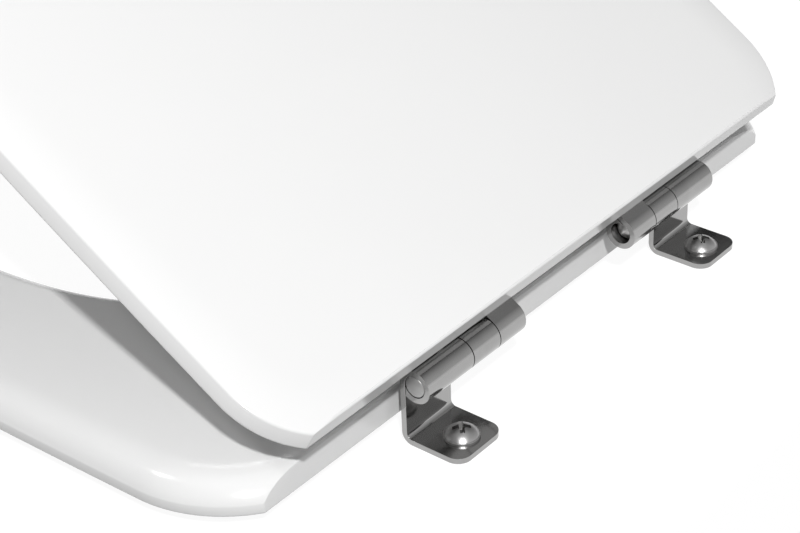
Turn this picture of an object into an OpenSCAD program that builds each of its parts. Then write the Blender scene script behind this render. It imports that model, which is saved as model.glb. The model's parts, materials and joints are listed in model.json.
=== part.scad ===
// Toilet seat with a hinged ring and a hinged lid on two strap hinges.
// Origin: midway between the two fixing screws, on the plane that the hinge feet stand on.
// X runs along the hinge pins, the front of the seat faces -Y, and Z is up.

/* [Fixing] */
// Distance between the two fixing screws
fixing_spacing = 155; // [140:1:170]
// Height of the hinge pins above the surface that the feet stand on
axis_height = 25.5; // [24:0.5:30]
// Distance of the hinge pins in front of the fixing screws
axis_setback = 10; // [9:0.5:14]
// Thread diameter of the fixing screws
fixing_screw_d = 6; // [5:0.5:6]
// Length of the fixing screws under their heads
fixing_screw_l = 12; // [8:1:40]
// Head diameter of the fixing screws
fixing_head_d = 13.2; // [12:0.2:14]
// Head height of the fixing screws
fixing_head_h = 4.2; // [3.6:0.2:4.6]
// Diameter of the hole in each foot
foot_hole_d = 6.6; // [6.4:0.2:8]

/* [Hinges] */
// Thickness of the hinge strip
strip_t = 2.2; // [1.5:0.1:2.6]
// Diameter of the hinge pins
pin_d = 8.4; // [7:0.2:9]
// Play between a pin and its knuckles, on the diameter
pin_play = 0.1; // [0.04:0.02:0.16]
// Width of each bracket and its knuckle
bracket_w = 25; // [20:0.5:30]
// Width of the knuckle that carries the ring
ring_knuckle_w = 14.8; // [12:0.2:18]
// Width of the knuckle that carries the lid
lid_knuckle_w = 14.7; // [12:0.2:18]
// Gap between two knuckles
knuckle_gap = 0.4; // [0.2:0.1:0.8]
// How far the round end of a pin lies inside the last knuckle
pin_recess = 2.6; // [1:0.2:4]
// Height of the round end of a pin
pin_dome = 1.6; // [1:0.2:2.4]
// Inside radius of the bend between leg and foot
bend_r = 2.2; // [1:0.2:3]
// Distance from the fixing screws to the rear edge of each foot
foot_rear = 9.4; // [8.5:0.2:14]
// Radius of the rear corners of each foot
foot_corner_r = 5.5; // [2:0.5:6]
// Width of the hidden plate of each leaf
leaf_w = 42; // [36:1:50]
// Length of the hidden plate of each leaf
leaf_l = 40; // [36:1:46]
// Corner radius of the hidden plate of each leaf
leaf_corner_r = 6; // [2:0.5:8]
// Shank diameter of the leaf screws
leaf_screw_d = 4; // [3:0.5:4.5]
// Head diameter of the leaf screws
leaf_screw_head_d = 7.6; // [7:0.2:8.4]
// Length of the screws that hold the ring leaves
ring_screw_l = 11; // [8:0.5:12]
// Length of the screws that hold the lid leaves
lid_screw_l = 7.6; // [6:0.2:8.4]

/* [Ring] */
// Thickness of the ring
ring_t = 12; // [11:0.5:15]
// Half width of the ring at its widest
ring_half_w = 176.4; // [170:1:185]
// Distance from the hinge pins to the front of the ring
ring_reach = 420; // [400:5:440]
// Distance from the hinge pins to the rear cut of the ring
ring_cut = 11.5; // [9:0.5:14]
// Distance from the hinge pins to the widest place of the ring and the lid
widest_reach = 195; // [185:1:205]
// Radius of the rear corners of the ring
ring_corner_r = 50.5; // [44:0.5:60]
// How much of the depth of these corners the rear cut takes off
ring_corner_cut = 10.4; // [2:0.2:14]
// Width of the rounding on the outer edge of the ring
ring_round_w = 12.5; // [8:0.5:14]
// Height of the rounding on the outer edge of the ring
ring_round_h = 10.6; // [6:0.2:10.8]
// Rounding of the edge of the opening
opening_round = 9; // [5:0.5:10]
// Half width of the opening
opening_half_w = 112; // [105:1:118]
// Distance from the hinge pins to the rear of the opening
opening_rear = 85; // [75:1:95]
// Length of the opening
opening_l = 270; // [250:5:285]

/* [Lid] */
// How far the lid stands open
lid_open = 32; // [0:1:90]
// Thickness of the lid at its edge
lid_edge_t = 7.2; // [6.8:0.2:9]
// Extra thickness of the lid inside its edge
lid_crown = 0.8; // [0.4:0.1:2]
// Width of the shallow slope inside the edge
lid_slope_w = 28; // [10:1:30]
// Step in from the edge of the ring to the edge of the lid
lid_margin = 14.8; // [13:0.2:18]
// Distance from the hinge pins to the rear cut of the lid
lid_cut = 3.8; // [2:0.2:6]
// Radius of the rear corners of the lid
lid_corner_r = 37.8; // [34:0.2:48]
// How much of the depth of these corners the rear cut takes off
lid_corner_cut = 8.4; // [2:0.2:12]
// Draft of the side wall of the lid
lid_draft = 0.7; // [0.2:0.1:1]
// Radius between the side wall and the top of the lid
lid_shoulder_r = 1.6; // [0.8:0.1:2]

/* [Buffers] */
// Length of each buffer under the ring
ring_buffer_l = 36; // [30:1:44]
// Width of each buffer under the ring
ring_buffer_w = 16; // [14:1:20]
// How far the front buffers of the ring lie behind the front end of the opening
front_buffer_inset = 17; // [14:1:30]
// How far the rear buffers of the ring lie in front of the rear end of the opening
rear_buffer_inset = 25; // [20:1:40]
// Diameter of each buffer under the lid
lid_buffer_d = 19; // [15:1:22]
// Space between a lid buffer and the ring when the lid is shut
lid_buffer_play = 0.2; // [0.1:0.1:0.5]
// How far the buffers of the lid lie behind the front end of the opening
lid_buffer_inset = 35; // [20:1:60]
// Shank diameter of the buffer screws
buffer_screw_d = 3.5; // [3:0.5:4]
// Head diameter of the buffer screws
buffer_screw_head_d = 6.8; // [6:0.2:7.4]
// How far the buffer screws reach into the ring or the lid
buffer_screw_grip = 5.5; // [4:0.5:6]

/* [Hidden] */
$fn = 48;
little = 0.01;

// Hinge sizes
bore_r = (pin_d + pin_play) / 2;
barrel_r = bore_r + strip_t;
curl_gap = 0.25;
bracket_x = (fixing_spacing - bracket_w) / 2;
ring_knuckle_x = bracket_x - knuckle_gap - ring_knuckle_w;
lid_knuckle_x = ring_knuckle_x - knuckle_gap - lid_knuckle_w;
pin_chamfer = 0.4;
neck_lap = 4;
leaf_hole_inset = 9;

// Screw sizes: plays on the radius, then the cross recess as shares of the head and of the shank
screw_play = 0.1;
thread_play = 0.05;
neck_play = 0.1;
head_wall_h = 1.8;
head_edge = 0.3;
tip_l = 1;
recess_span = 0.52;
recess_wing = 0.24;
recess_depth = 0.42;
recess_above = 1;

// Heights, with the lid shut
ring_top = axis_height - barrel_r;
ring_under = ring_top - ring_t;
lid_under = axis_height + barrel_r;
lid_t = lid_edge_t + lid_crown;

// Outlines, as distances along Y from the origin
axis_y = -axis_setback;
front_y = axis_y - ring_reach;
widest_y = axis_y - widest_reach;
side_flare = 1.5;
ring_side_end_y = side_end_y(ring_cut, ring_corner_cut, ring_corner_r);
lid_side_end_y = side_end_y(lid_cut, lid_corner_cut, lid_corner_r);
front_power = 2.3;
opening_mid_y = axis_y - opening_rear - opening_l / 2;
opening_front_y = opening_mid_y - opening_l / 2;
opening_rear_power = 2.8;
edge_r = 1;

// Steps along an outline and over a rounding
front_steps = 26;
side_steps = 4;
corner_steps = 12;
rear_steps = 2;
round_steps = 8;
shoulder_steps = 3;
slope_steps = 6;
half_steps = front_steps + side_steps + corner_steps + rear_steps;

// Places and turns of the buffers, and the shape of their feet
front_buffer_y = opening_front_y + front_buffer_inset;
rear_buffer_y = axis_y - opening_rear - rear_buffer_inset;
lid_buffer_y = opening_front_y + lid_buffer_inset;
front_buffer_turn = -42;
rear_buffer_turn = 8;
pad_edge_r = 2;
pad_edge_steps = 4;
pad_sink = 1 / 3;

// Where a side ends and its rear corner starts, for a corner that the rear cut shortens
function side_end_y(cut, corner_cut, r) = axis_y - cut + corner_cut - r * (1 - sin(side_flare));

// One quarter of a rounded front: half width w, length l, at angle a from the front
function front_point(w, l, a) =
    [w * pow(sin(a), 2 / front_power), widest_y - l * pow(cos(a), 2 / front_power)];

// How much narrower a side is at y than at the widest place
function side_loss(y, end_y) =
    tan(side_flare) * pow(y - widest_y, 2) / (2 * (end_y - widest_y));

// Half width of an outline at y, in front of the rear corners
function half_width(w, front, end_y, y) =
    y < widest_y
        ? w * pow(1 - pow((widest_y - y) / (widest_y - front), front_power), 1 / front_power)
        : w - side_loss(y, end_y);

// Half width of the opening at y
function opening_half_width(y) =
    let (p = y < opening_mid_y ? front_power : opening_rear_power)
    opening_half_w * pow(1 - pow(abs(y - opening_mid_y) / (opening_l / 2), p), 1 / p);

// Middle of the ring's +X side at y
function band_middle(y) =
    (half_width(ring_half_w, front_y, ring_side_end_y, y) + opening_half_width(y)) / 2;

// The +X half of an outline, from the front to the middle of the rear
function half_outline(w, front, end_y, r) =
    let (side_w = w - side_loss(end_y, end_y),
         mid = [side_w - r * cos(side_flare), end_y - r * sin(side_flare)])
    concat(
        [for (i = [0:front_steps - 1]) front_point(w, widest_y - front, 90 * i / front_steps)],
        [for (i = [0:side_steps - 1])
            let (y = widest_y + (end_y - widest_y) * i / side_steps) [w - side_loss(y, end_y), y]],
        [for (i = [0:corner_steps])
            let (a = side_flare + (90 - side_flare) * i / corner_steps) mid + r * [cos(a), sin(a)]],
        [for (i = [1:rear_steps]) [mid[0] * (1 - i / rear_steps), mid[1] + r]]);

// The +X half of the opening, with as many points as an outline
function half_opening() =
    [for (i = [0:half_steps])
        let (a = 180 * i / half_steps, front = a < 90, p = front ? front_power : opening_rear_power)
        [opening_half_w * pow(sin(a), 2 / p),
         opening_mid_y - (front ? 1 : -1) * opening_l / 2 * pow(abs(cos(a)), 2 / p)]];

// A whole outline from its +X half
function whole(half) =
    let (n = len(half) - 1) concat(half, [for (i = [n - 1:-1:1]) [-half[i][0], half[i][1]]]);

// Outward direction at each point of an outline that runs anticlockwise
function outward(pts) =
    let (n = len(pts))
    [for (i = [0:n - 1])
        let (d = pts[(i + 1) % n] - pts[(i + n - 1) % n]) [d[1], -d[0]] / norm(d)];

// One level of a surface: an outline stepped in and set at a height
function level(pts, out, inset, z) =
    [for (i = [0:len(pts) - 1]) let (p = pts[i] - inset * out[i]) [p[0], p[1], z]];

// Joins level after level, and the last to the first where closed
function skin_faces(n, levels, closed) =
    [for (k = [0:levels - (closed ? 1 : 2)], i = [0:n - 1])
        let (j = (i + 1) % n, a = k * n, b = ((k + 1) % levels) * n)
        each [[a + i, b + i, b + j], [a + i, b + j, a + j]]];

// Steps of a quarter of an ellipse, from the wall to the top
function quarter(w, h, z0) =
    [for (i = [0:round_steps]) let (a = 90 * i / round_steps) [w * (1 - cos(a)), z0 + h * sin(a)]];

// Steps of a small rounding along a lower edge
function lower_edge(r) = [for (a = [0, 45, 90]) r * [1 - sin(a), 1 - cos(a)]];

module on_left() {
    mirror([1, 0, 0]) children();
}

// Sets a profile drawn in Y and Z at x and gives it a width
module along_x(x, w) {
    translate([x, 0, 0]) rotate([90, 0, 90]) linear_extrude(w) children();
}

// Moves a solid of the lid from its shut place to its open one
module opened() {
    translate([0, axis_y, axis_height]) rotate([-lid_open, 0, 0])
        translate([0, -axis_y, -axis_height]) children();
}

// Everything behind a rear cut at y
module behind(y) {
    translate([-ring_half_w, y, 0]) cube([2 * ring_half_w, ring_corner_r, lid_under + 2 * lid_t]);
}

// Section of a rolled knuckle about the origin, whose strip leaves it level, below, towards -X
module knuckle_section(strip_l) {
    difference() {
        union() {
            circle(barrel_r);
            translate([-strip_l, -barrel_r]) square([strip_l, strip_t]);
        }
        circle(bore_r);
        translate([-barrel_r, -barrel_r + strip_t]) square([barrel_r, curl_gap]);
    }
}

// Cross recess that runs down from z = 0, for a screw of shank diameter d
module cross_recess(d, head_d) {
    top = head_d * recess_span / 2;
    foot = d * recess_wing;
    depth = d * recess_depth;
    for (a = [0, 90])
        rotate([90, 0, a]) translate([0, 0, -foot / 2]) linear_extrude(foot)
            polygon([[-top, recess_above], [-top, 0], [-foot, -depth],
                [foot, -depth], [top, 0], [top, recess_above]]);
}

// Countersunk screw with its head flush at z = 0 and its shank downwards
module countersunk_screw(d, head_d, l) {
    cone_h = (head_d - d) / 2;
    difference() {
        rotate_extrude()
            polygon([[0, 0], [head_d / 2, 0], [d / 2, -cone_h], [d / 2, -l + d / 2], [0, -l]]);
        cross_recess(d, head_d);
    }
}

// Hole in a plate of thickness t for a countersunk screw whose head is flush at z = 0
module countersunk_hole(d, head_d, t) {
    r = d / 2 + screw_play;
    head_r = head_d / 2 + screw_play;
    translate([0, 0, -t - little]) cylinder(r = r, h = t + 2 * little);
    translate([0, 0, r - head_r]) cylinder(r1 = r, r2 = head_r, h = head_r - r);
    translate([0, 0, -little]) cylinder(r = head_r, h = 2 * little);
}

// Rounded plate in the plane, from y = 0 to y = -l, centred on x = 0
module rounded_plate(w, l, r) {
    translate([-w / 2, -l + r]) square([w, l - 2 * r]);
    translate([-w / 2 + r, -l]) square([w - 2 * r, l]);
    for (x = [-w / 2 + r, w / 2 - r], y = [-r, -l + r]) translate([x, y]) circle(r);
}

// Places of the three screws of a leaf plate
leaf_holes = [
    [0, -leaf_hole_inset],
    [-leaf_w / 2 + leaf_hole_inset, -leaf_l + leaf_hole_inset],
    [leaf_w / 2 - leaf_hole_inset, -leaf_l + leaf_hole_inset]
];

// Leaf for the +X hinge, with its plate resting level on z = bottom of the barrel
module leaf(knuckle_x, knuckle_w, plate_y) {
    mid_x = knuckle_x + knuckle_w / 2;
    difference() {
        union() {
            translate([0, axis_y, axis_height])
                along_x(knuckle_x, knuckle_w) knuckle_section(axis_y - plate_y + neck_lap + leaf_corner_r);
            translate([mid_x, plate_y, ring_top]) linear_extrude(strip_t)
                rounded_plate(leaf_w, leaf_l, leaf_corner_r);
        }
        for (p = leaf_holes)
            translate([mid_x + p[0], plate_y + p[1], ring_top + strip_t])
                countersunk_hole(leaf_screw_d, leaf_screw_head_d, strip_t);
    }
}

module leaf_screws(knuckle_x, knuckle_w, plate_y, l) {
    for (p = leaf_holes)
        translate([knuckle_x + knuckle_w / 2 + p[0], plate_y + p[1], ring_top + strip_t])
            countersunk_screw(leaf_screw_d, leaf_screw_head_d, l);
}

// Holes that take the leaf screws
module leaf_screw_holes(knuckle_x, knuckle_w, plate_y, l) {
    for (p = leaf_holes)
        translate([knuckle_x + knuckle_w / 2 + p[0], plate_y + p[1], ring_top + strip_t - l - screw_play])
            cylinder(d = leaf_screw_d + 2 * thread_play, h = l);
}

// Turns what was drawn for the ring over, about the pins, so that it fits under the lid
module under_lid() {
    translate([0, 0, 2 * axis_height]) mirror([0, 0, 1]) children();
}

ring_plate_y = axis_y - ring_cut - neck_lap;
lid_plate_y = ring_plate_y;

module bracket() {
    leg_y = axis_y - barrel_r;
    foot_l = foot_rear - leg_y;
    bend_out = bend_r + strip_t;
    difference() {
        union() {
            translate([0, axis_y, axis_height]) along_x(bracket_x, bracket_w)
                mirror([1, -1]) knuckle_section(axis_height - bend_out);
            along_x(bracket_x, bracket_w) intersection() {
                translate([leg_y + bend_out, bend_out]) difference() {
                    circle(bend_out);
                    circle(bend_r);
                }
                translate([leg_y, 0]) square(bend_out);
            }
            translate([fixing_spacing / 2, foot_rear, 0]) linear_extrude(strip_t) {
                rounded_plate(bracket_w, foot_l - bend_out, foot_corner_r);
                translate([-bracket_w / 2, -foot_l + bend_out])
                    square([bracket_w, foot_l - bend_out - foot_corner_r]);
            }
        }
        translate([fixing_spacing / 2, 0, -little]) cylinder(d = foot_hole_d, h = strip_t + 2 * little);
    }
}

module hinge_pin() {
    pin_l = bracket_x + bracket_w - lid_knuckle_x - pin_recess;
    r = pin_d / 2;
    translate([bracket_x + bracket_w, axis_y, axis_height]) rotate([0, -90, 0]) rotate_extrude()
        polygon(concat(
            [[0, 0], [r - pin_chamfer, 0], [r, pin_chamfer]],
            [for (i = [0:round_steps]) let (a = 90 * i / round_steps)
                [r * cos(a), pin_l - pin_dome + pin_dome * sin(a)]]));
}

// Pan head screw with a plain neck that fills the hole of the foot
module fixing_screw() {
    r = fixing_head_d / 2;
    shank_r = fixing_screw_d / 2;
    neck_r = foot_hole_d / 2 - neck_play;
    dome_h = fixing_head_h - head_wall_h;
    translate([fixing_spacing / 2, 0, strip_t]) difference() {
        rotate_extrude() polygon(concat(
            [[0, -fixing_screw_l], [shank_r - tip_l, -fixing_screw_l], [shank_r, tip_l - fixing_screw_l],
             [shank_r, -strip_t], [neck_r, -strip_t], [neck_r, 0], [r - head_edge, 0], [r, head_edge]],
            [for (i = [0:round_steps]) let (a = 90 * i / round_steps)
                [r * cos(a), head_wall_h + dome_h * sin(a)]]));
        translate([0, 0, fixing_head_h]) cross_recess(fixing_screw_d, fixing_head_d);
    }
}

module seat_ring() {
    outer = whole(half_outline(ring_half_w, front_y, ring_side_end_y, ring_corner_r));
    opening = whole(half_opening());
    outer_out = outward(outer);
    opening_out = -outward(opening);
    outer_side = concat(lower_edge(edge_r), quarter(ring_round_w, ring_round_h, ring_t - ring_round_h));
    opening_side = concat(lower_edge(edge_r), quarter(opening_round, opening_round, ring_t - opening_round));
    up = [for (s = outer_side) each level(outer, outer_out, s[0], ring_under + s[1])];
    down = [for (k = [len(opening_side) - 1:-1:0])
        each level(opening, opening_out, opening_side[k][0], ring_under + opening_side[k][1])];
    color("white") difference() {
        polyhedron(concat(up, down),
            skin_faces(len(outer), len(outer_side) + len(opening_side), true), 6);
        behind(axis_y - ring_cut);
        for (s = [0, 1]) mirror([s, 0, 0]) {
            leaf_screw_holes(ring_knuckle_x, ring_knuckle_w, ring_plate_y, ring_screw_l);
            at_ring_buffers() translate([0, 0, ring_under - little])
                cylinder(d = buffer_screw_d + 2 * thread_play, h = buffer_screw_grip + screw_play + little);
        }
    }
}

module lid() {
    edge = whole(half_outline(ring_half_w - lid_margin, front_y + lid_margin, lid_side_end_y, lid_corner_r));
    out = outward(edge);
    shoulder = [for (i = [0:shoulder_steps]) let (a = 90 * i / shoulder_steps)
        [lid_draft + lid_shoulder_r * (1 - cos(a)), lid_edge_t - lid_shoulder_r * (1 - sin(a))]];
    slope = [for (i = [1:slope_steps]) let (s = i / slope_steps)
        [lid_draft + lid_shoulder_r + lid_slope_w * s, lid_edge_t + lid_crown * sin(90 * s)]];
    side = concat(lower_edge(edge_r), shoulder, slope);
    n = len(edge);
    color("white") opened() difference() {
        polyhedron([for (s = side) each level(edge, out, s[0], lid_under + s[1])],
            concat(skin_faces(n, len(side), false),
                [[for (i = [0:n - 1]) i]],
                [[for (i = [n - 1:-1:0]) (len(side) - 1) * n + i]]), 6);
        behind(axis_y - lid_cut);
        for (s = [0, 1]) mirror([s, 0, 0]) {
            under_lid() leaf_screw_holes(lid_knuckle_x, lid_knuckle_w, lid_plate_y, lid_screw_l);
            at_lid_buffer() translate([0, 0, lid_under - little])
                cylinder(d = buffer_screw_d + 2 * thread_play, h = buffer_screw_grip + screw_play + little);
        }
    }
}

// Places of the two ring buffers on the +X side
module at_ring_buffer(y, turn) {
    translate([band_middle(y), y, 0]) rotate([0, 0, turn]) children();
}

module at_ring_buffers() {
    at_ring_buffer(front_buffer_y, front_buffer_turn) children();
    at_ring_buffer(rear_buffer_y, rear_buffer_turn) children();
}

// Place of the lid buffer on the +X side, over the middle of the ring
module at_lid_buffer() {
    translate([band_middle(lid_buffer_y), lid_buffer_y, 0]) children();
}

// Section of a round pad from its axis: foot down at z = 0, flat top at z = h
module pad_section(r, h) {
    polygon(concat(
        [[0, 0]],
        [for (i = [0:pad_edge_steps]) let (a = 90 * i / pad_edge_steps)
            [r - pad_edge_r * (1 - sin(a)), pad_edge_r * (1 - cos(a))]],
        [[r, h], [0, h]]));
}

// Sunk hole for a buffer screw, head down, in a pad of height h
module pad_hole(h) {
    head_z = h * pad_sink;
    translate([0, 0, -little]) cylinder(d = buffer_screw_d + 2 * screw_play, h = h + 2 * little);
    translate([0, 0, -little]) cylinder(d = buffer_screw_head_d + 2 * screw_play, h = head_z + little);
    translate([0, 0, head_z - little])
        cylinder(d1 = buffer_screw_head_d + 2 * screw_play, d2 = buffer_screw_d + 2 * screw_play,
            h = (buffer_screw_head_d - buffer_screw_d) / 2);
}

module ring_buffer() {
    half = (ring_buffer_l - ring_buffer_w) / 2;
    color("whitesmoke") difference() {
        hull() for (s = [-1, 1])
            translate([0, s * half, 0]) rotate_extrude($fn = 32) pad_section(ring_buffer_w / 2, ring_under);
        pad_hole(ring_under);
    }
}

module lid_buffer() {
    h = lid_under - ring_top - lid_buffer_play;
    color("whitesmoke") translate([0, 0, lid_under - h]) difference() {
        rotate_extrude() pad_section(lid_buffer_d / 2, h);
        pad_hole(h);
    }
}

// Buffer screw, head down, in a pad of height h that stands on z = 0
module buffer_screw(h) {
    translate([0, 0, h * pad_sink]) mirror([0, 0, 1])
        countersunk_screw(buffer_screw_d, buffer_screw_head_d, h * (1 - pad_sink) + buffer_screw_grip);
}

module bracket_right() { color("gainsboro") bracket(); }
module bracket_left() { color("gainsboro") on_left() bracket(); }
module hinge_pin_right() { color("silver") hinge_pin(); }
module hinge_pin_left() { color("silver") on_left() hinge_pin(); }
module fixing_screw_right() { color("lightgray") fixing_screw(); }
module fixing_screw_left() { color("lightgray") on_left() fixing_screw(); }

module ring_leaf_right() { color("gainsboro") leaf(ring_knuckle_x, ring_knuckle_w, ring_plate_y); }
module ring_leaf_left() { on_left() ring_leaf_right(); }
module ring_leaf_screws_right() {
    color("lightgray") leaf_screws(ring_knuckle_x, ring_knuckle_w, ring_plate_y, ring_screw_l);
}
module ring_leaf_screws_left() { on_left() ring_leaf_screws_right(); }

module lid_leaf_right() {
    color("gainsboro") opened() under_lid() leaf(lid_knuckle_x, lid_knuckle_w, lid_plate_y);
}
module lid_leaf_left() { on_left() lid_leaf_right(); }
module lid_leaf_screws_right() {
    color("lightgray") opened() under_lid()
        leaf_screws(lid_knuckle_x, lid_knuckle_w, lid_plate_y, lid_screw_l);
}
module lid_leaf_screws_left() { on_left() lid_leaf_screws_right(); }

module ring_buffer_front_right() { at_ring_buffer(front_buffer_y, front_buffer_turn) ring_buffer(); }
module ring_buffer_front_left() { on_left() ring_buffer_front_right(); }
module ring_buffer_rear_right() { at_ring_buffer(rear_buffer_y, rear_buffer_turn) ring_buffer(); }
module ring_buffer_rear_left() { on_left() ring_buffer_rear_right(); }
module ring_buffer_screws() {
    color("lightgray") for (s = [0, 1]) mirror([s, 0, 0]) at_ring_buffers() buffer_screw(ring_under);
}

module lid_buffer_right() { opened() at_lid_buffer() lid_buffer(); }
module lid_buffer_left() { on_left() lid_buffer_right(); }
module lid_buffer_screws() {
    h = lid_under - ring_top - lid_buffer_play;
    color("lightgray") opened() for (s = [0, 1]) mirror([s, 0, 0])
        at_lid_buffer() translate([0, 0, lid_under - h]) buffer_screw(h);
}

bracket_left();
bracket_right();
hinge_pin_left();
hinge_pin_right();
fixing_screw_left();
fixing_screw_right();
seat_ring();
ring_leaf_left();
ring_leaf_right();
ring_leaf_screws_left();
ring_leaf_screws_right();
ring_buffer_front_left();
ring_buffer_front_right();
ring_buffer_rear_left();
ring_buffer_rear_right();
ring_buffer_screws();
lid();
lid_leaf_left();
lid_leaf_right();
lid_leaf_screws_left();
lid_leaf_screws_right();
lid_buffer_left();
lid_buffer_right();
lid_buffer_screws();
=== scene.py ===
import json
import math

import bmesh
import bpy
from mathutils import Matrix, Vector


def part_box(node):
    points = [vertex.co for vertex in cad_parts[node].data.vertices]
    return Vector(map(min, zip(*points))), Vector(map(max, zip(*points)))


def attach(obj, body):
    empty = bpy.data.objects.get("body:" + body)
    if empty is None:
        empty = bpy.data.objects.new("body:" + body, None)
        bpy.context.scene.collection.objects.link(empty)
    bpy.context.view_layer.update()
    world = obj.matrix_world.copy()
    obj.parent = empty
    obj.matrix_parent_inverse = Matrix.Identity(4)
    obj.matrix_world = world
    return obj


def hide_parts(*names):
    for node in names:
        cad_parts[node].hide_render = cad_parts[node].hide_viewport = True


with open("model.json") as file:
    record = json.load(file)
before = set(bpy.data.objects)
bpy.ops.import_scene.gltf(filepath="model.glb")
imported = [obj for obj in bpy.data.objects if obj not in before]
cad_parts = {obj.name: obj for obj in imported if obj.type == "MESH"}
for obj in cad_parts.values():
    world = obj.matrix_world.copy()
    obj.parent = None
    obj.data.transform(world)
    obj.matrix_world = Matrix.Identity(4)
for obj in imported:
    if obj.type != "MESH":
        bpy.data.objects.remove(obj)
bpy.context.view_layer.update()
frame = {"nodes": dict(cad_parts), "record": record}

# Sizes are in metres. MM turns a size in millimetres into metres.
MM = 0.001

# The hinge pins run along X through this point, and the lid rests this far open
LID_JOINT = next(j for j in frame["record"]["behaviour"]["joints"] if j["name"] == "lid_hinge")
AXIS = Vector(LID_JOINT["pos_m"])
LID_OPEN = math.radians(-LID_JOINT["range_deg"][0])

# Camera of the photograph: place, turn about Z, height above the horizon, roll and focal length
CAMERA_PLACE = Vector((523.5, 353.9, 427.4)) * MM
CAMERA_AZIMUTH = 130.34
CAMERA_ELEVATION = 31.97
CAMERA_ROLL = -2.37
CAMERA_LENS = 91.87

# Lamps: where each is seen from the near rear corner of the ring, how far off, how bright and how large.
# The main one gives the shadow of the lid on the ring, the weak one a small highlight on the ring's corner,
# and the low one lights the front and the underside of the lid.
LAMP_AIM = Vector((150, -70, 20)) * MM
LAMPS = {"main_lamp": {"azimuth": 140.0, "elevation": 46.5, "distance": 1.8, "power": 103.0, "radius": 0.036},
         "side_lamp": {"azimuth": 36.0, "elevation": 57.0, "distance": 0.9, "power": 4.5, "radius": 0.03},
         "low_lamp": {"azimuth": 335.0, "elevation": 4.0, "distance": 2.5, "power": 26.0, "radius": 0.25}}

# The studio is pale towards this azimuth, behind the hinges, and dim on the other side, and pale overhead
PALE_AZIMUTH = 205.0
PALE = 0.74
DIM = 0.05
OVERHEAD = 0.42

# The white backdrop ends at this height, as the sine of the elevation, and fades out above it
BACKDROP_TOP = 0.08
BACKDROP_END = 0.16

# The floor as the camera sees it: its own glow near the seat and far off, and how much lamp light it adds
FLOOR_Z = -0.2 * MM
FLOOR_GLOW_NEAR = 0.93
FLOOR_GLOW_FAR = 1.0
FLOOR_LIT = 0.14
FLOOR_BOUNCE = 0.16

# Past this distance behind the hinges the floor lets the lid show, which swings below it when it is thrown back
CLEAR_FROM = 60 * MM
CLEAR_TO = 90 * MM


def direction(azimuth, elevation):
    """Unit vector towards a place seen at that azimuth (0 is the front, -Y) and elevation, in degrees."""
    a, e = math.radians(azimuth), math.radians(elevation)
    return Vector((math.sin(a) * math.cos(e), -math.cos(a) * math.cos(e), math.sin(e)))


# Camera, lamps, world and floor

def add_camera():
    data = bpy.data.cameras.new("photo_camera")
    data.lens = CAMERA_LENS
    data.sensor_width = 36
    data.clip_start = 0.01
    camera = bpy.data.objects.new("photo_camera", data)
    bpy.context.collection.objects.link(camera)
    turn = direction(CAMERA_AZIMUTH, CAMERA_ELEVATION).to_track_quat("Z", "Y").to_matrix().to_4x4()
    roll = Matrix.Rotation(math.radians(CAMERA_ROLL), 4, "Z")
    camera.matrix_world = Matrix.Translation(CAMERA_PLACE) @ turn @ roll
    bpy.context.scene.camera = camera


def add_lamp(name, azimuth, elevation, distance, power, radius):
    data = bpy.data.lights.new(name, "POINT")
    data.energy = power
    data.shadow_soft_size = radius
    lamp = bpy.data.objects.new(name, data)
    lamp.location = LAMP_AIM + direction(azimuth, elevation) * distance
    bpy.context.collection.objects.link(lamp)


def wire(tree, source, target):
    """Joins (node, socket) to (node, socket)."""
    tree.links.new(source[0].outputs[source[1]], target[0].inputs[target[1]])


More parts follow.
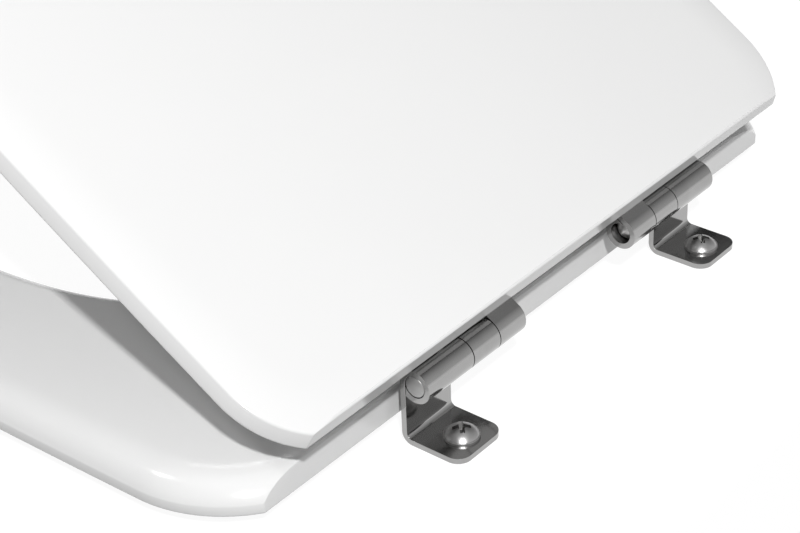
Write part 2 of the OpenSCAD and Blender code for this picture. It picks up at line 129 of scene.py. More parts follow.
def add_world():
    """Studio that is pale overhead and behind the hinges.

    The camera sees it plain white, and reflections show that white too, as far up as a backdrop reaches.
    """
    world = bpy.data.worlds.new("studio")
    bpy.context.scene.world = world
    world.use_nodes = True
    tree = world.node_tree
    tree.nodes.clear()
    place = tree.nodes.new("ShaderNodeTexCoord")
    towards = tree.nodes.new("ShaderNodeVectorMath")
    towards.operation = "DOT_PRODUCT"
    towards.inputs[1].default_value = direction(PALE_AZIMUTH, 0)
    fade = tree.nodes.new("ShaderNodeMapRange")
    fade.inputs["From Min"].default_value = 0.2
    fade.inputs["From Max"].default_value = 1.0
    fade.inputs["To Min"].default_value = DIM
    fade.inputs["To Max"].default_value = PALE
    height = tree.nodes.new("ShaderNodeSeparateXYZ")
    overhead = tree.nodes.new("ShaderNodeMapRange")
    overhead.interpolation_type = "SMOOTHSTEP"
    overhead.inputs["From Min"].default_value = 0.78
    overhead.inputs["From Max"].default_value = 0.94
    overhead.inputs["To Min"].default_value = 0.0
    overhead.inputs["To Max"].default_value = OVERHEAD
    total = tree.nodes.new("ShaderNodeMath")
    light = tree.nodes.new("ShaderNodeBackground")
    light.inputs["Color"].default_value = (1, 1, 1, 1)
    white = tree.nodes.new("ShaderNodeBackground")
    white.inputs["Color"].default_value = (1, 1, 1, 1)
    ray = tree.nodes.new("ShaderNodeLightPath")
    mirrored = tree.nodes.new("ShaderNodeMath")
    mirrored.operation = "MAXIMUM"
    backdrop = tree.nodes.new("ShaderNodeMapRange")
    backdrop.inputs["From Min"].default_value = BACKDROP_TOP
    backdrop.inputs["From Max"].default_value = BACKDROP_END
    backdrop.inputs["To Min"].default_value = 1.0
    backdrop.inputs["To Max"].default_value = 0.0
    mirrored_backdrop = tree.nodes.new("ShaderNodeMath")
    mirrored_backdrop.operation = "MULTIPLY"
    shown = tree.nodes.new("ShaderNodeMath")
    shown.operation = "MAXIMUM"
    mix = tree.nodes.new("ShaderNodeMixShader")
    out = tree.nodes.new("ShaderNodeOutputWorld")
    wire(tree, (place, "Generated"), (towards, 0))
    wire(tree, (towards, "Value"), (fade, "Value"))
    wire(tree, (place, "Generated"), (height, "Vector"))
    wire(tree, (height, "Z"), (overhead, "Value"))
    wire(tree, (fade, "Result"), (total, 0))
    wire(tree, (overhead, "Result"), (total, 1))
    wire(tree, (total, "Value"), (light, "Strength"))
    wire(tree, (ray, "Is Glossy Ray"), (mirrored, 0))
    wire(tree, (ray, "Is Transmission Ray"), (mirrored, 1))
    wire(tree, (height, "Z"), (backdrop, "Value"))
    wire(tree, (mirrored, "Value"), (mirrored_backdrop, 0))
    wire(tree, (backdrop, "Result"), (mirrored_backdrop, 1))
    wire(tree, (ray, "Is Camera Ray"), (shown, 0))
    wire(tree, (mirrored_backdrop, "Value"), (shown, 1))
    wire(tree, (shown, "Value"), (mix, "Fac"))
    wire(tree, (light, "Background"), (mix, 1))
    wire(tree, (white, "Background"), (mix, 2))
    wire(tree, (mix, "Shader"), (out, "Surface"))


def add_floor():
    """Pale floor that shows white to the camera and in reflections, less the shadow of the seat.

    It isn't seen from below, nor far behind the hinges.
    """
    mesh = bpy.data.meshes.new("floor")
    half = 6.0
    mesh.from_pydata([(-half, -half, 0), (half, -half, 0), (half, half, 0), (-half, half, 0)], [], [(0, 1, 2, 3)])
    floor = bpy.data.objects.new("floor", mesh)
    floor.location.z = FLOOR_Z
    bpy.context.collection.objects.link(floor)
    material = bpy.data.materials.new("floor")
    material.use_nodes = True
    tree = material.node_tree
    tree.nodes.clear()
    plain = tree.nodes.new("ShaderNodeBsdfDiffuse")
    plain.inputs["Color"].default_value = (FLOOR_BOUNCE, FLOOR_BOUNCE, FLOOR_BOUNCE, 1)
    seen = tree.nodes.new("ShaderNodeBsdfDiffuse")
    seen.inputs["Color"].default_value = (FLOOR_LIT, FLOOR_LIT, FLOOR_LIT, 1)
    place = tree.nodes.new("ShaderNodeTexCoord")
    far = tree.nodes.new("ShaderNodeVectorMath")
    far.operation = "LENGTH"
    fade = tree.nodes.new("ShaderNodeMapRange")
    fade.inputs["From Min"].default_value = 0.7
    fade.inputs["From Max"].default_value = 1.6
    fade.inputs["To Min"].default_value = FLOOR_GLOW_NEAR
    fade.inputs["To Max"].default_value = FLOOR_GLOW_FAR
    glow = tree.nodes.new("ShaderNodeEmission")
    lit = tree.nodes.new("ShaderNodeAddShader")
    ray = tree.nodes.new("ShaderNodeLightPath")
    either = tree.nodes.new("ShaderNodeMath")
    either.operation = "MAXIMUM"
    any_of = tree.nodes.new("ShaderNodeMath")
    any_of.operation = "MAXIMUM"
    mix = tree.nodes.new("ShaderNodeMixShader")
    side = tree.nodes.new("ShaderNodeNewGeometry")
    spot = tree.nodes.new("ShaderNodeSeparateXYZ")
    behind = tree.nodes.new("ShaderNodeMapRange")
    behind.inputs["From Min"].default_value = CLEAR_FROM
    behind.inputs["From Max"].default_value = CLEAR_TO
    seen_or_lit = tree.nodes.new("ShaderNodeMath")
    seen_or_lit.operation = "MAXIMUM"
    open_behind = tree.nodes.new("ShaderNodeMath")
    open_behind.operation = "MULTIPLY"
    opened = tree.nodes.new("ShaderNodeMath")
    opened.operation = "MAXIMUM"
    clear = tree.nodes.new("ShaderNodeBsdfTransparent")
    whole_floor = tree.nodes.new("ShaderNodeMixShader")
    out = tree.nodes.new("ShaderNodeOutputMaterial")
    wire(tree, (place, "Object"), (far, "Vector"))
    wire(tree, (far, "Value"), (fade, "Value"))
    wire(tree, (fade, "Result"), (glow, "Strength"))
    wire(tree, (seen, "BSDF"), (lit, 0))
    wire(tree, (glow, "Emission"), (lit, 1))
    wire(tree, (ray, "Is Camera Ray"), (either, 0))
    wire(tree, (ray, "Is Glossy Ray"), (either, 1))
    wire(tree, (either, "Value"), (any_of, 0))
    wire(tree, (ray, "Is Transmission Ray"), (any_of, 1))
    wire(tree, (any_of, "Value"), (mix, "Fac"))
    wire(tree, (plain, "BSDF"), (mix, 1))
    wire(tree, (lit, "Shader"), (mix, 2))
    wire(tree, (place, "Object"), (spot, "Vector"))
    wire(tree, (spot, "Y"), (behind, "Value"))
    wire(tree, (ray, "Is Camera Ray"), (seen_or_lit, 0))
    wire(tree, (ray, "Is Shadow Ray"), (seen_or_lit, 1))
    wire(tree, (behind, "Result"), (open_behind, 0))
    wire(tree, (seen_or_lit, "Value"), (open_behind, 1))
    wire(tree, (side, "Backfacing"), (opened, 0))
    wire(tree, (open_behind, "Value"), (opened, 1))
    wire(tree, (opened, "Value"), (whole_floor, "Fac"))
    wire(tree, (mix, "Shader"), (whole_floor, 1))
    wire(tree, (clear, "BSDF"), (whole_floor, 2))
    wire(tree, (whole_floor, "Shader"), (out, "Surface"))
    mesh.materials.append(material)


# Outlines of the ring, the lid and the opening

WIDEST_REACH = 195 * MM
SIDE_FLARE = math.radians(1.5)
FRONT_POWER = 2.3
OPENING_REAR_POWER = 2.8
CUT_FILLET = 0.9 * MM

FRONT_STEPS = 84
SIDE_STEPS = 20
CORNER_STEPS = 28
FILLET_STEPS = 5
REAR_STEPS = 16
SAME_POINT = 0.002 * MM
HALF_STEPS = FRONT_STEPS + SIDE_STEPS + CORNER_STEPS + FILLET_STEPS + REAR_STEPS

WIDEST_Y = AXIS.y - WIDEST_REACH


def spread(first, last, steps):
    """steps + 1 evenly spaced numbers from first to last."""
    return [first + (last - first) * i / steps for i in range(steps + 1)]


def half_outline(width, front_y, cut_y, corner_r, corner_cut, inset, setback):
    """Right half of an outline, from the middle of the front to the middle of the rear.

    inset moves it inwards, and setback moves its rear cut forwards. The corner at the cut is rounded, and
    where the cut would miss an outline that lies far in, the rear is as far back as the corner reaches.
    """
    end_y = cut_y + corner_cut - corner_r * (1 - math.sin(SIDE_FLARE))
    loss = math.tan(SIDE_FLARE) / (2 * (end_y - WIDEST_Y))
    length = WIDEST_Y - front_y
    points = []
    for i in range(FRONT_STEPS):
        a = math.radians(90) * i / FRONT_STEPS
        x = width * math.sin(a) ** (2 / FRONT_POWER)
        y = WIDEST_Y - length * math.cos(a) ** (2 / FRONT_POWER)
        out = Vector(((x / width) ** (FRONT_POWER - 1) / width,
                      -((WIDEST_Y - y) / length) ** (FRONT_POWER - 1) / length)).normalized()
        points.append(Vector((x, y)) - out * inset)
    for y in spread(WIDEST_Y, end_y, SIDE_STEPS)[:-1]:
        out = Vector((1, 2 * loss * (y - WIDEST_Y))).normalized()
        points.append(Vector((width - loss * (y - WIDEST_Y) ** 2, y)) - out * inset)
    side_x = width - loss * (end_y - WIDEST_Y) ** 2
    centre = Vector((side_x - corner_r * math.cos(SIDE_FLARE), end_y - corner_r * math.sin(SIDE_FLARE)))
    r = corner_r - inset
    rear_y = min(cut_y - setback, centre.y + r)
    fillet = Vector((0, rear_y - CUT_FILLET))
    fillet.x = centre.x + math.sqrt(max(0.0, (r - CUT_FILLET) ** 2 - (fillet.y - centre.y) ** 2))
    meet = math.atan2(fillet.y - centre.y, fillet.x - centre.x)
    for a in spread(SIDE_FLARE, meet, CORNER_STEPS)[:-1]:
        points.append(centre + r * Vector((math.cos(a), math.sin(a))))
    for a in spread(meet, math.radians(90), FILLET_STEPS)[:-1]:
        points.append(fillet + CUT_FILLET * Vector((math.cos(a), math.sin(a))))
    for x in spread(fillet.x, 0, REAR_STEPS):
        points.append(Vector((x, rear_y)))
    return points


def half_opening(width, rear_y, length, inset):
    """Right half of the opening, from its front to its rear. inset moves it away from the opening."""
    middle = rear_y - length / 2
    points = []
    for a in spread(0, math.radians(180), HALF_STEPS):
        front = math.cos(a) > 0
        power = FRONT_POWER if front else OPENING_REAR_POWER
        x = width * abs(math.sin(a)) ** (2 / power)
        reach = length / 2 * abs(math.cos(a)) ** (2 / power)
        out = Vector(((x / width) ** (power - 1) / width,
                      (reach / (length / 2)) ** (power - 1) / (length / 2) * (-1 if front else 1))).normalized()
        points.append(Vector((x, middle - reach if front else middle + reach)) + out * inset)
    points[0].x = 0
    points[-1].x = 0
    return points


def whole(half):
    """Closed outline from its right half, anticlockwise."""
    return half + [Vector((-p.x, p.y)) for p in reversed(half[1:-1])]


def cut_setbacks(levels, corner_cut, radius, lean=0.0):
    """How far the rear cut steps back at each level: its edges are rounded, and it leans forwards by lean."""
    top = max(z for inset, z in levels if inset <= corner_cut)
    setbacks = []
    for _, z in levels:
        rise = max(0.0, radius - max(0.0, min(z, top - z)))
        setbacks.append(radius - math.sqrt(max(0.0, radius * radius - rise * rise)) + lean * min(1.0, z / top))
    return setbacks


def lower_rounding(radius, lean=0.0, steps=5):
    """(inset, height) pairs round a lower edge, from the underside up to a wall that leans inwards."""
    return [(radius * (1 - math.cos(a)), radius * (1 + math.sin(a)))
            for a in spread(math.radians(-90), lean, steps)]


def upper_rounding(width, height, top, steps):
    """(inset, height) pairs round an upper edge, from the wall up to the top."""
    return [(width * (1 - math.cos(a)), top - height + height * math.sin(a))
            for a in spread(0, math.radians(90), steps)]


def rolled_rim(width, wall_h, top, steps):
    """(inset, height) pairs over the outer rim of the ring: an upright wall, then one long flattening curve."""
    pairs = []
    for s in spread(0, 1, steps):
        across = s ** RIM_CROWDING
        climb = (1 - (1 - across) ** RIM_POWER) ** RIM_SHARPNESS
        pairs.append((width * across, wall_h + (top - wall_h) * climb))
    return pairs


def skin(loops, closed):
    """Faces that join loop after loop of equal length, and the last to the first where closed."""
    n = len(loops[0])
    faces = []
    for k in range(len(loops) if closed else len(loops) - 1):
        a, b = k * n, (k + 1) % len(loops) * n
        faces += [(a + i, a + (i + 1) % n, b + (i + 1) % n, b + i) for i in range(n)]
    return faces


def ladder(first, n, upwards):
    """Faces across a closed symmetric loop, from its right half to its left half and up to its straight rear."""
    last = n // 2 - REAR_STEPS - 1
    rungs = [[first + i, first + (n - i) % n] for i in range(last + 1)]
    faces = [[a, c, d, b] if a != b else [a, c, d] for (a, b), (c, d) in zip(rungs, rungs[1:])]
    faces.append([first + i for i in range(last, n - last + 1)])
    return faces if upwards else [face[::-1] for face in faces]


def new_piece(name, vertices, faces, material):
    """A piece from its points and faces. Points that coincide become one, so that no face is empty."""
    mesh = bpy.data.meshes.new(name)
    mesh.from_pydata(vertices, [], faces)
    work = bmesh.new()
    work.from_mesh(mesh)
    bmesh.ops.remove_doubles(work, verts=work.verts, dist=SAME_POINT)
    work.to_mesh(mesh)
    work.free()
    mesh.validate()
    mesh.materials.append(material)
    piece = bpy.data.objects.new(name, mesh)
    bpy.context.collection.objects.link(piece)
    return piece


def shade_mesh(mesh, sharp_angle=35):
    """Smooth shading with sharp edges kept."""
    for face in mesh.polygons:
        face.use_smooth = True
    mesh.set_sharp_from_angle(angle=math.radians(sharp_angle))


# The ring and the lid

RING_LOW, RING_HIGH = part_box("seat_ring")
RING_T = RING_HIGH.z - RING_LOW.z
RING_CORNER_R = 50.5 * MM
RING_CORNER_CUT = 10.4 * MM
RIM_W = 16 * MM
RIM_WALL_H = 4.3 * MM
RIM_POWER = 3.0
RIM_SHARPNESS = 0.83
RIM_CROWDING = 1.6
OPENING_ROUND = 9 * MM
OPENING_HALF_W = 112 * MM
OPENING_REAR = 85 * MM
OPENING_L = 270 * MM
EDGE_R = 1 * MM

LID_MARGIN = 14.8 * MM
LID_CUT = 3.8 * MM
LID_CORNER_R = 37.8 * MM
LID_CORNER_CUT = 8.4 * MM
LID_T = 8 * MM
LID_CROWN = 1.3 * MM
LID_SLOPE_W = 18 * MM
LID_LEAN = math.radians(20)
LID_SHOULDER_R = 1.2 * MM
LID_REAR_LEAN = 1.3 * MM
LID_FLAT_EDGE = 2 * MM
CUT_EDGE_R = 0.8 * MM


def build_ring(material):
    """The ring with its rounded rim and opening, and a straight cut at the rear with broken edges."""
    half_w = RING_HIGH.x
    outer = lower_rounding(EDGE_R) + rolled_rim(RIM_W, RIM_WALL_H, RING_T, 30)
    inner = lower_rounding(EDGE_R) + upper_rounding(OPENING_ROUND, OPENING_ROUND, RING_T, 18)
    loops = []
    for (inset, z), setback in zip(outer, cut_setbacks(outer, RING_CORNER_CUT, CUT_EDGE_R)):
        half = half_outline(half_w, RING_LOW.y, RING_HIGH.y, RING_CORNER_R, RING_CORNER_CUT, inset, setback)
        loops.append([(p.x, p.y, RING_LOW.z + z) for p in whole(half)])
    for inset, z in reversed(inner):
        half = half_opening(OPENING_HALF_W, AXIS.y - OPENING_REAR, OPENING_L, inset)
        loops.append([(p.x, p.y, RING_LOW.z + z) for p in whole(half)])
    ring = new_piece("ring_moulding", [p for loop in loops for p in loop], skin(loops, True), material)
    shade_mesh(ring.data)
    return ring


def build_lid(material):
    """The lid, drawn shut and then turned open: a leaning wall, a slope that eases out and a flat top."""
    under_z = 2 * AXIS.z - RING_HIGH.z
    levels = lower_rounding(EDGE_R, LID_LEAN)
    steepest = math.radians(90) - math.atan(2 * LID_CROWN / LID_SLOPE_W)
    shoulder_z = LID_T - LID_CROWN - LID_SHOULDER_R * math.sin(steepest)
    wall_h = shoulder_z + LID_SHOULDER_R * math.sin(LID_LEAN) - levels[-1][1]
    shoulder_in = levels[-1][0] + wall_h * math.tan(LID_LEAN) + LID_SHOULDER_R * math.cos(LID_LEAN)
    levels += [(shoulder_in - LID_SHOULDER_R * math.cos(a), shoulder_z + LID_SHOULDER_R * math.sin(a))
               for a in spread(LID_LEAN, steepest, 8)]
    start = levels[-1][0]
    levels += [(start + LID_SLOPE_W * s, LID_T - LID_CROWN * (1 - s) ** 2) for s in spread(0, 1, 14)[1:]]
    levels.append((levels[-1][0] + LID_FLAT_EDGE, LID_T))
    loops = []
    for (inset, z), setback in zip(levels, cut_setbacks(levels, LID_CORNER_CUT, CUT_EDGE_R, LID_REAR_LEAN)):
        half = half_outline(RING_HIGH.x - LID_MARGIN, RING_LOW.y + LID_MARGIN, AXIS.y - LID_CUT,
                            LID_CORNER_R, LID_CORNER_CUT, inset, setback)
        loops.append([Vector((p.x, p.y, under_z + z)) for p in whole(half)])
    n = len(loops[0])
    faces = skin(loops, False) + ladder(0, n, False) + ladder((len(loops) - 1) * n, n, True)
    turn = Matrix.Translation(AXIS) @ Matrix.Rotation(-LID_OPEN, 4, "X") @ Matrix.Translation(-AXIS)
    lid = new_piece("lid_moulding", [turn @ p for loop in loops for p in loop], faces, material)
    shade_mesh(lid.data)
    return lid


# Fixing screws and hinge pins

SCREW_TURNS = 96
DOME_R = 6.2 * MM
DOME_H = 3.1 * MM
FLANGE_EDGE = 0.22 * MM
NECK_R = 3.2 * MM
NECK_L = 2.2 * MM
RECESS_SPAN = 3.7 * MM
RECESS_HALF_W = 0.95 * MM
RECESS_WEB = 0.5 * MM
RECESS_DEPTH = 3.2 * MM
RECESS_NARROWING = 0.5
RECESS_TIP = 0.5 * MM
SCREW_L = 12 * MM
THREAD_R = 3 * MM
THREAD_DEPTH = 0.55 * MM
THREAD_PITCH = 1 * MM
THREAD_ROWS = 8
TIP_L = 1 * MM
PIN_TURNS = 96
PIN_EDGE = 0.35 * MM
PIN_GAP = 0.2 * MM
PIN_DOME = 1.6 * MM


def cross(middle, size, z):
    """Points of a cross with filled inner corners, anticlockwise. Its arms lie across the corners of the foot."""
    span, half_w, web = RECESS_SPAN * size, RECESS_HALF_W * size, RECESS_WEB * size
    points = []
    for quarter in range(4):
        turn = Matrix.Rotation(math.radians(45 + 90 * quarter), 2)
        for p in ((span, -half_w), (span, half_w), (half_w + web, half_w), (half_w, half_w + web)):
            p = turn @ Vector(p)
            points.append((middle.x + p.x, middle.y + p.y, z))
    return points


def turned(name, rows, material):
    """A closed piece from rows of points of equal length, with a point at each end."""
    n = len(rows[1])
    points = [rows[0]] + [p for row in rows[1:-1] for p in row] + [rows[-1]]
    last = len(points) - 1
    faces = [(0, 1 + i, 1 + (i + 1) % n) for i in range(n)]
    for k in range(len(rows) - 3):
        a, b = 1 + k * n, 1 + (k + 1) * n
        faces += [(a + i, b + i, b + (i + 1) % n, a + (i + 1) % n) for i in range(n)]
    a = last - n
    faces += [(last, a + (i + 1) % n, a + i) for i in range(n)]
    piece = new_piece(name, points, faces, material)
    shade_mesh(piece.data, 40)
    return piece


def cut_away(piece, cutter):
    """Takes the cutter's form out of a piece and deletes the cutter."""
    cut = piece.modifiers.new("cut", "BOOLEAN")
    cut.operation = "DIFFERENCE"
    cut.solver = "EXACT"
    cut.material_mode = "TRANSFER"
    cut.object = cutter
    whole_mesh = piece.data
    piece.data = bpy.data.meshes.new_from_object(piece.evaluated_get(bpy.context.evaluated_depsgraph_get()))
    piece.modifiers.clear()
    cutter_mesh = cutter.data
    bpy.data.objects.remove(cutter)
    bpy.data.meshes.remove(cutter_mesh)
    bpy.data.meshes.remove(whole_mesh)


def build_fixing_screw(node, name, material, recess_shade_material):
    """A screw with a thin flange, a domed head with a cross recess, a plain neck and a threaded shank."""
    low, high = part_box(node)
    middle = (low + high) / 2
    head_r = (high.x - low.x) / 2
    flange_z = high.z - DOME_H
    seat_z = low.z + SCREW_L
    sphere_r = (DOME_R ** 2 + DOME_H ** 2) / (2 * DOME_H)
    turns = [math.radians(360) * i / SCREW_TURNS for i in range(SCREW_TURNS)]

    def ring(r, z):
        return [(middle.x + r * math.cos(a), middle.y + r * math.sin(a), z) for a in turns]

    rows = [(middle.x, middle.y, high.z)]
    rows += [ring(r, high.z - sphere_r + math.sqrt(sphere_r ** 2 - r ** 2)) for r in spread(0, DOME_R, 24)[1:]]
    for a in spread(math.radians(90), 0, 4):
        rows.append(ring(head_r - FLANGE_EDGE + FLANGE_EDGE * math.cos(a),
                         flange_z - FLANGE_EDGE + FLANGE_EDGE * math.sin(a)))
    rows.append(ring(head_r, seat_z))
    rows.append(ring(NECK_R, seat_z))
    rows.append(ring(NECK_R, seat_z - NECK_L))
    thread_top = seat_z - NECK_L
    count = round((thread_top - low.z) / (THREAD_PITCH / THREAD_ROWS))
    for z in spread(thread_top, low.z, count):
        fade = min(1.0, (thread_top - z) / THREAD_PITCH)
        taper = max(0.0, TIP_L - (z - low.z))
        row = []
        for a in turns:
            climb = (z / THREAD_PITCH - a / math.radians(360)) % 1
            r = THREAD_R - THREAD_DEPTH * fade * abs(2 * climb - 1)
            r = min(r, THREAD_R - taper)
            row.append((middle.x + r * math.cos(a), middle.y + r * math.sin(a), z))
        rows.append(row)
    rows.append((middle.x, middle.y, low.z))
    screw = turned(name, rows, material)
    # The faces of the recess take the second material, whose darker colour is painted shade in the recess.
    recess = [(middle.x, middle.y, high.z + RECESS_TIP), cross(middle, 1, high.z + RECESS_TIP),
              cross(middle, 1, high.z), cross(middle, RECESS_NARROWING, high.z - RECESS_DEPTH),
              (middle.x, middle.y, high.z - RECESS_DEPTH - RECESS_TIP)]
    cut_away(screw, turned(name + "_recess", recess, recess_shade_material))
    shade_mesh(screw.data, 40)
    return screw


def build_pin(node, name, material):
    """A hinge pin that is flat at its outer end and domed at its inner end."""
    low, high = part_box(node)
    r = (high.z - low.z) / 2 - PIN_GAP
    outwards = 1 if high.x + low.x > 0 else -1
    outer_x = high.x if outwards > 0 else low.x
    length = high.x - low.x
    profile = [(PIN_EDGE * (1 - math.cos(a)), r - PIN_EDGE + PIN_EDGE * math.sin(a))
               for a in spread(0, math.radians(90), 5)]
    profile += [(length - PIN_DOME + PIN_DOME * math.sin(a), r * math.cos(a))
                for a in spread(0, math.radians(90), 14)[:-1]]
    turns = [-outwards * math.radians(360) * i / PIN_TURNS for i in range(PIN_TURNS)]
    rows = [(outer_x, AXIS.y, AXIS.z)]
    for depth, radius in profile:
        rows.append([(outer_x - outwards * depth, AXIS.y + radius * math.cos(a), AXIS.z + radius * math.sin(a))
                     for a in turns])
    rows.append((outer_x - outwards * length, AXIS.y, AXIS.z))
    return turned(name, rows, material)


# Other metal parts: the solids of the frame with their edges broken

def shade_by_area(mesh, sharp_angle=40):
    """Smooth shading in which each corner follows the large faces round it, so that flat faces look flat."""
    shade_mesh(mesh, sharp_angle)
    work = bmesh.new()
    work.from_mesh(mesh)
    limit = math.radians(sharp_angle)
    normals = []
    for face in work.faces:
        for corner in face.loops:
            total = Vector()
            for other in corner.vert.link_faces:
                if other.normal.angle(face.normal, 0.0) < limit:
                    total += other.normal * other.calc_area() ** 2
            normals.append(total.normalized())
    work.free()
    mesh.normals_split_custom_set(normals)


def softened(node, name, material, radius, segments=3, sharp=30):
    """A copy of a node with its flat faces joined up and its sharp edges rounded."""
    mesh = bpy.data.meshes.new(name)
    work = bmesh.new()
    work.from_mesh(frame["nodes"][node].data)
    bmesh.ops.remove_doubles(work, verts=work.verts, dist=SAME_POINT)
    bmesh.ops.dissolve_limit(work, angle_limit=math.radians(0.4), verts=work.verts, edges=work.edges)
    edges = [e for e in work.edges if len(e.link_faces) == 2 and e.calc_face_angle() > math.radians(sharp)]
    bmesh.ops.bevel(work, geom=edges, offset=radius, segments=segments, profile=0.5, affect="EDGES",
                    clamp_overlap=True)
    work.to_mesh(mesh)
    work.free()
    mesh.materials.clear()
    mesh.materials.append(material)
    piece = bpy.data.objects.new(name, mesh)
    bpy.context.collection.objects.link(piece)
    shade_by_area(mesh)
    return piece


def place(piece, body, slot, *nodes):
    """Puts a piece on its body, in place of the nodes it stands for. slot is not used."""
    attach(piece, body)
    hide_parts(*nodes)


# Finishes

def new_group(name, inputs, outputs):
    """Shader node group with named sockets. Returns the group, its input node and its output node."""
    tree = bpy.data.node_groups.new(name, "ShaderNodeTree")
    for label, kind, value in inputs:
        socket = tree.interface.new_socket(label, in_out="INPUT", socket_type=kind)
        socket.default_value = value
    for label, kind in outputs:
        tree.interface.new_socket(label, in_out="OUTPUT", socket_type=kind)
    return tree, tree.nodes.new("NodeGroupInput"), tree.nodes.new("NodeGroupOutput")


def wiped_group():
    """Faint smears left by wiping: a mask that varies slowly, with finer streaks in it."""
    tree, given, out = new_group(
        "wiped", [("Scale", "NodeSocketFloat", 20.0), ("Low", "NodeSocketFloat", 0.1),
                  ("High", "NodeSocketFloat", 0.2)], [("Value", "NodeSocketFloat")])
    place_of = tree.nodes.new("ShaderNodeTexCoord")
    noise = tree.nodes.new("ShaderNodeTexNoise")
    noise.inputs["Detail"].default_value = 5
    noise.inputs["Roughness"].default_value = 0.6
    noise.inputs["Distortion"].default_value = 0.6
    fit = tree.nodes.new("ShaderNodeMapRange")
    fit.inputs["From Min"].default_value = 0.3
    fit.inputs["From Max"].default_value = 0.7
    wire(tree, (place_of, "Object"), (noise, "Vector"))
    wire(tree, (given, "Scale"), (noise, "Scale"))
    wire(tree, (noise, "Fac"), (fit, "Value"))
    wire(tree, (given, "Low"), (fit, "To Min"))
    wire(tree, (given, "High"), (fit, "To Max"))
    wire(tree, (fit, "Result"), (out, "Value"))
    return tree


def grain_group():
    """Fine grain stretched along the given direction, as a height."""
    tree, given, out = new_group(
        "grain", [("Scale", "NodeSocketFloat", 400.0), ("Stretch", "NodeSocketVector", (1, 1, 1))],
        [("Height", "NodeSocketFloat")])
    place_of = tree.nodes.new("ShaderNodeTexCoord")
    stretch = tree.nodes.new("ShaderNodeVectorMath")
    stretch.operation = "MULTIPLY"
    noise = tree.nodes.new("ShaderNodeTexNoise")
    noise.inputs["Detail"].default_value = 3
    wire(tree, (place_of, "Object"), (stretch, 0))
    wire(tree, (given, "Stretch"), (stretch, 1))
    wire(tree, (stretch, "Vector"), (noise, "Vector"))
    wire(tree, (given, "Scale"), (noise, "Scale"))
    wire(tree, (noise, "Fac"), (out, "Height"))
    return tree


WIPED = wiped_group()
GRAIN = grain_group()


def use(tree, group, values):
    """Places a group in a material with its own values."""
    node = tree.nodes.new("ShaderNodeGroup")
    node.node_tree = group
    for label, value in values.items():
        node.inputs[label].default_value = value
    return node


def new_finish(name, wiped, grain, bump, colours, colour_scale):
    """Material with slowly varying colour, wiped gloss and a fine grain. Returns it and its shader."""
    material = bpy.data.materials.new(name)
    material.use_nodes = True
    tree = material.node_tree
    shader = tree.nodes["Principled BSDF"]
    gloss = use(tree, WIPED, wiped)
    wire(tree, (gloss, "Value"), (shader, "Roughness"))
    texture = use(tree, GRAIN, grain)
    relief = tree.nodes.new("ShaderNodeBump")
    relief.inputs["Strength"].default_value = bump[0]
    relief.inputs["Distance"].default_value = bump[1]
    wire(tree, (texture, "Height"), (relief, "Height"))
    wire(tree, (relief, "Normal"), (shader, "Normal"))
    tone = use(tree, WIPED, {"Scale": colour_scale, "Low": 0.0, "High": 1.0})
    blend = tree.nodes.new("ShaderNodeMix")
    blend.data_type = "RGBA"
    blend.inputs["A"].default_value = (*colours[0], 1)
    blend.inputs["B"].default_value = (*colours[1], 1)
    wire(tree, (tone, "Value"), (blend, "Factor"))
    tree.links.new(blend.outputs["Result"], shader.inputs["Base Color"])
    return material, shader


def gloss_white():
    material, shader = new_finish(
        "gloss_white", {"Scale": 14.0, "Low": 0.14, "High": 0.16},
        {"Scale": 240.0, "Stretch": (1, 1, 1)}, (0.02, 0.0002),
        ((0.86, 0.86, 0.858), (0.85, 0.85, 0.849)), 6.0)
    shader.inputs["IOR"].default_value = 1.5
    shader.inputs["Coat Weight"].default_value = 0.3
    shader.inputs["Coat Roughness"].default_value = 0.1
    return material


def hinge_steel():
    material, shader = new_finish(
        "hinge_steel", {"Scale": 90.0, "Low": 0.08, "High": 0.15},
        {"Scale": 900.0, "Stretch": (0.06, 1, 1)}, (0.04, 0.0001),
        ((0.39, 0.388, 0.385), (0.35, 0.348, 0.345)), 60.0)
    shader.inputs["Metallic"].default_value = 1.0
    return material


def pin_steel():
    material, shader = new_finish(
        "pin_steel", {"Scale": 160.0, "Low": 0.28, "High": 0.4},
        {"Scale": 1500.0, "Stretch": (1, 1, 1)}, (0.1, 0.0001),
        ((0.45, 0.448, 0.445), (0.39, 0.388, 0.385)), 120.0)
    shader.inputs["Metallic"].default_value = 1.0
    return material


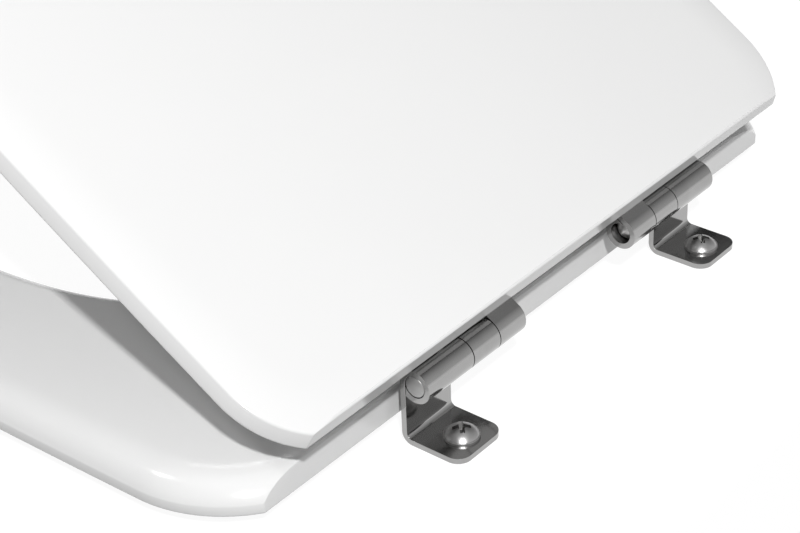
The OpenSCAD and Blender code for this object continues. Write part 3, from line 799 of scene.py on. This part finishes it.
def screw_steel():
    material, shader = new_finish(
        "screw_steel", {"Scale": 200.0, "Low": 0.3, "High": 0.4},
        {"Scale": 1200.0, "Stretch": (1, 1, 1)}, (0.08, 0.0001),
        ((0.5, 0.498, 0.495), (0.42, 0.418, 0.415)), 150.0)
    shader.inputs["Metallic"].default_value = 1.0
    return material


def screw_recess():
    """Steel in the recess, a little duller, with its colour painted darker as the shade that falls in the recess.
    """
    material, shader = new_finish(
        "screw_recess", {"Scale": 300.0, "Low": 0.3, "High": 0.45},
        {"Scale": 1200.0, "Stretch": (1, 1, 1)}, (0.1, 0.0001),
        ((0.2, 0.198, 0.195), (0.1, 0.099, 0.097)), 400.0)
    shader.inputs["Metallic"].default_value = 1.0
    return material


def buffer_plastic():
    material, shader = new_finish(
        "buffer_plastic", {"Scale": 60.0, "Low": 0.45, "High": 0.6},
        {"Scale": 1800.0, "Stretch": (1, 1, 1)}, (0.25, 0.0002),
        ((0.74, 0.74, 0.73), (0.68, 0.68, 0.67)), 40.0)
    shader.inputs["IOR"].default_value = 1.45
    return material


# The whole seat

add_camera()
for lamp_name, lamp in LAMPS.items():
    add_lamp(lamp_name, **lamp)
add_world()
add_floor()

white = gloss_white()
place(build_ring(white), "ring", "gloss_white", "seat_ring")
place(build_lid(white), "lid", "gloss_white", "lid")

steel = hinge_steel()
pins = pin_steel()
screws = screw_steel()
# The recess material is darker steel: painted shade in the screw recesses.
recess_shades = screw_recess()
pads = buffer_plastic()
EDGE_RADIUS = {"leaf": 0.5, "screw": 0.12, "buffer": 0.3}
for body, nodes in frame["record"]["behaviour"]["bodies"].items():
    for node in nodes:
        if node in ("seat_ring", "lid"):
            continue
        if "fixing_screw" in node:
            place(build_fixing_screw(node, node + "_detail", screws, recess_shades), body, "screw_steel", node)
        elif "screw" in node:
            made = softened(node, node + "_detail", screws, EDGE_RADIUS["screw"] * MM)
            place(made, body, "screw_steel", node)
        elif "pin" in node:
            place(build_pin(node, node + "_detail", pins), body, "pin_steel", node)
        elif "buffer" in node:
            place(softened(node, node + "_detail", pads, EDGE_RADIUS["buffer"] * MM), body, "buffer", node)
        else:
            place(softened(node, node + "_detail", steel, EDGE_RADIUS["leaf"] * MM), body, "hinge_steel", node)

scene = bpy.context.scene
scene.view_settings.view_transform = "Standard"
